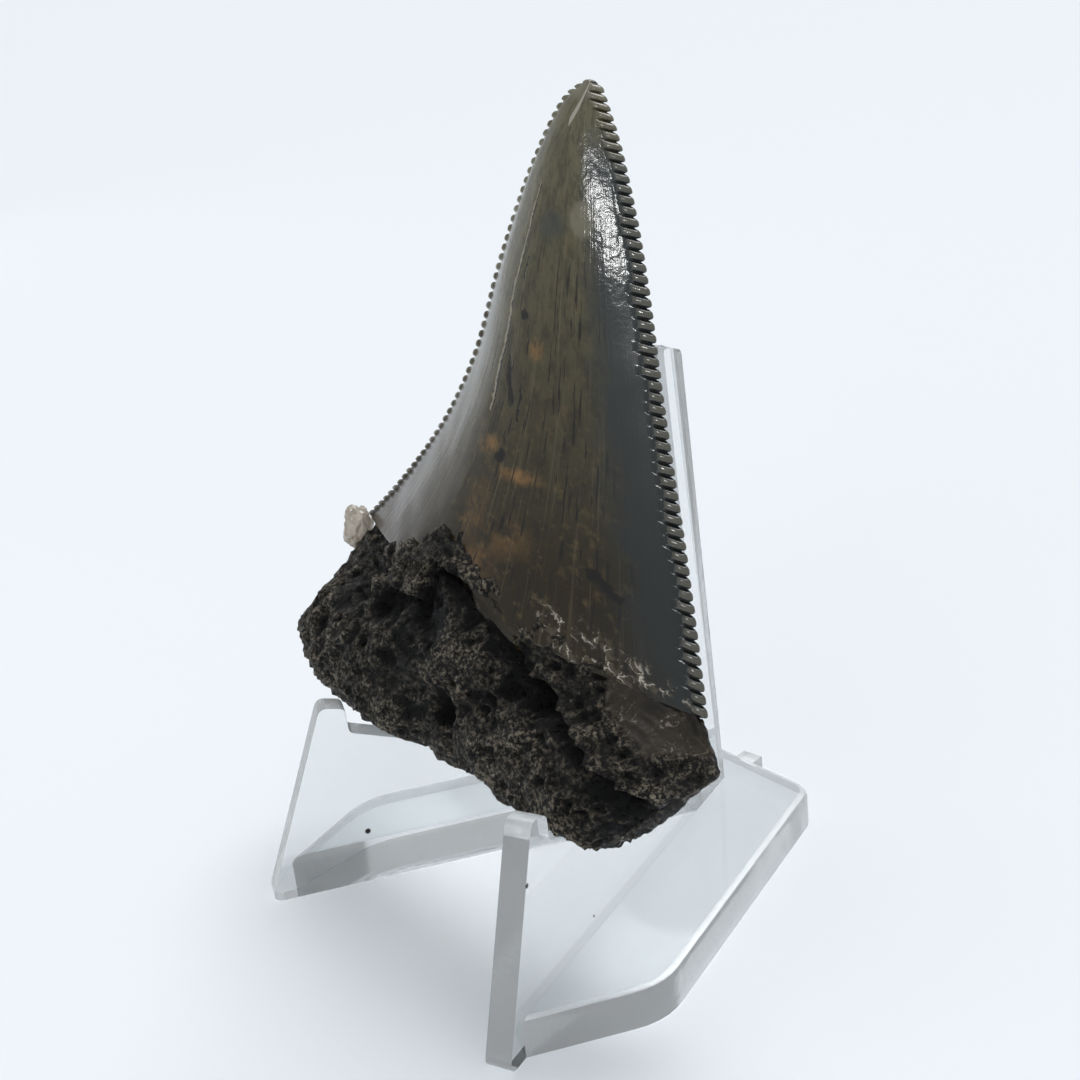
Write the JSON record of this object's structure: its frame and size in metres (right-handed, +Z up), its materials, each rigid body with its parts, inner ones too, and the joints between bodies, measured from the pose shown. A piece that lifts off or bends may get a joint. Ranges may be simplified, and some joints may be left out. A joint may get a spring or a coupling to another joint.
{
  "type": "fossil megalodon tooth on a display stand",
  "caption": "Fossil shark tooth with a glossy serrated crown and a dark lumpy root, leaning on a clear V-shaped moulded display stand.",
  "frame": {"origin": "on the underside of the stand, below its spine", "axes": "+Z up, -Y the way the front of the tooth faces, +X to the right seen from the front"},
  "size_m": [0.0499, 0.0395, 0.0606],
  "materials": {
    "fossil_tooth": "glossy olive-brown and slate enamel above, dull charcoal root below",
    "clear_plastic": "clear, glossy, moulded"
  },
  "bodies": {
    "root": {"tooth": "fossil_tooth", "stand": "clear_plastic"}
  },
  "joints": []
}
